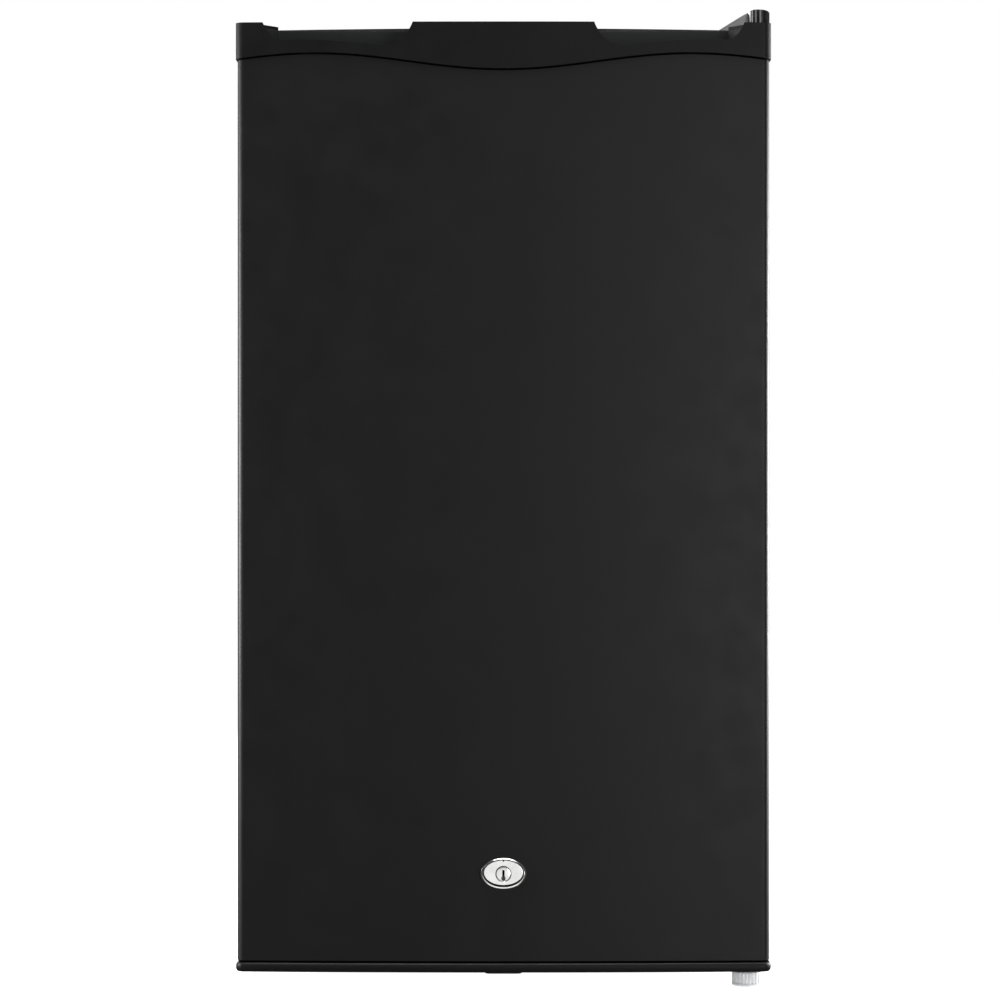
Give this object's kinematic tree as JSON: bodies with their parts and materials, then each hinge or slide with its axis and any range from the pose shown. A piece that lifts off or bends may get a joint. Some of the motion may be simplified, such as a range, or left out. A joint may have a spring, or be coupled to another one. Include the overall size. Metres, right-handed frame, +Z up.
{
  "type": "mini fridge",
  "caption": "Compact refrigerator with a bowed door, two finger scoops in the door's top cap, a key lock, a freezer box inside and a wire condenser behind.",
  "frame": {"origin": "on the floor under the middle of the bounding box", "axes": "+X to the right seen from the front, +Y to the back, +Z up; the door faces -Y"},
  "size_m": [0.47, 0.456, 0.866],
  "materials": {
    "skin": "satin",
    "cap": "satin",
    "wrap": "satin",
    "gloss_black": "gloss",
    "nickel": "gloss",
    "steel": "satin",
    "zinc": "satin",
    "black_steel": "satin",
    "copper": "satin",
    "aluminium": "satin",
    "white": "satin",
    "foam": "matte",
    "rubber": "matte",
    "foot_grey": "satin",
    "shelf_glass": "gloss",
    "clear_plastic": "gloss"
  },
  "bodies": {
    "cabinet": {"cabinet_wrap": "wrap", "back_panel": "wrap", "compressor_bay_panel": "zinc", "base_pan": "zinc", "inner_liner": "white", "insulation_foam": "foam", "worktop": "cap", "upper_hinge_bracket": "steel", "upper_hinge_pin": "steel", "upper_hinge_screw_1": "steel", "upper_hinge_screw_2": "steel", "hinge_cover": "gloss_black", "lower_hinge_bracket": "steel", "lower_hinge_pin": "steel", "lower_hinge_screw_1": "steel", "lower_hinge_screw_2": "steel", "lock_strike": "steel", "rear_foot_left": "rubber", "rear_foot_right": "rubber", "evaporator_box": "aluminium", "freezer_frame": "white", "thermostat_housing": "white", "lower_shelf": "shelf_glass", "upper_shelf": "shelf_glass", "crisper_cover": "shelf_glass", "compressor": "black_steel", "compressor_plate": "black_steel", "compressor_grommet_1": "rubber", "compressor_grommet_2": "rubber", "compressor_grommet_3": "rubber", "compressor_grommet_4": "rubber", "terminal_cover": "cap", "condensate_tray": "cap", "filter_drier": "copper", "condenser_coil": "black_steel", "condenser_bracket_left": "black_steel", "condenser_bracket_right": "black_steel", "suction_tube": "copper", "drain_tube": "cap", "cord_gland": "rubber"},
    "door": {"door_skin": "skin", "door_top_cap": "cap", "door_bottom_cap": "cap", "door_foam": "foam", "door_liner": "white", "door_gasket": "rubber", "middle_rack": "clear_plastic", "upper_rack": "clear_plastic", "bottle_rack": "clear_plastic", "upper_hinge_bush": "white", "lower_hinge_bush": "white", "lock_housing": "nickel"},
    "lock_cylinder": {"lock_plug": "nickel"},
    "bolt": {"lock_bolt": "steel"},
    "freezer_door": {"freezer_flap": "white"},
    "melt_tray": {"drip_tray": "clear_plastic"},
    "crisper": {"crisper_drawer": "clear_plastic"},
    "thermostat_dial": {"thermostat_knob": "white"},
    "left_foot": {"front_foot_left": "foot_grey"},
    "right_foot": {"front_foot_right": "foot_grey"}
  },
  "joints": [
    {"name": "door_swing", "type": "hinge", "parent": "cabinet", "child": "door", "pos_m": [0.226, -0.198, 0.43], "axis": [0, 0, 1], "range_deg": [0, 120]},
    {"name": "lock_turn", "type": "hinge", "parent": "door", "child": "lock_cylinder", "pos_m": [0, -0.22, 0.105], "axis": [0, 1, 0], "range_deg": [0, 90]},
    {"name": "bolt_slide", "type": "slide", "parent": "door", "child": "bolt", "axis": [0, 0, -1], "range_m": [0, 0.008]},
    {"name": "freezer_flap_swing", "type": "hinge", "parent": "cabinet", "child": "freezer_door", "pos_m": [0.186, -0.1052, 0.73], "axis": [0, 0, 1], "range_deg": [0, 90]},
    {"name": "drip_tray_slide", "type": "slide", "parent": "cabinet", "child": "melt_tray", "axis": [0, -1, 0], "range_m": [0, 0.12]},
    {"name": "crisper_slide", "type": "slide", "parent": "cabinet", "child": "crisper", "axis": [0, -1, 0], "range_m": [0, 0.11]},
    {"name": "thermostat_turn", "type": "hinge", "parent": "cabinet", "child": "thermostat_dial", "pos_m": [0.17, -0.015, 0.6075], "axis": [1, 0, 0], "range_deg": [0, 270]},
    {"name": "left_foot_height", "type": "slide", "parent": "cabinet", "child": "left_foot", "axis": [0, 0, -1], "range_m": [0, 0.01]},
    {"name": "right_foot_height", "type": "slide", "parent": "cabinet", "child": "right_foot", "axis": [0, 0, -1], "range_m": [0, 0.01]}
  ],
  "couplings": [
    {"joint": "bolt_slide", "follows": "lock_turn", "m_per_rad": 0.005092},
    {"joint": "freezer_flap_swing", "follows": "door_swing", "ratio": 0.7499},
    {"joint": "drip_tray_slide", "follows": "door_swing", "m_per_rad": 0.05729},
    {"joint": "crisper_slide", "follows": "door_swing", "m_per_rad": 0.0525}
  ]
}
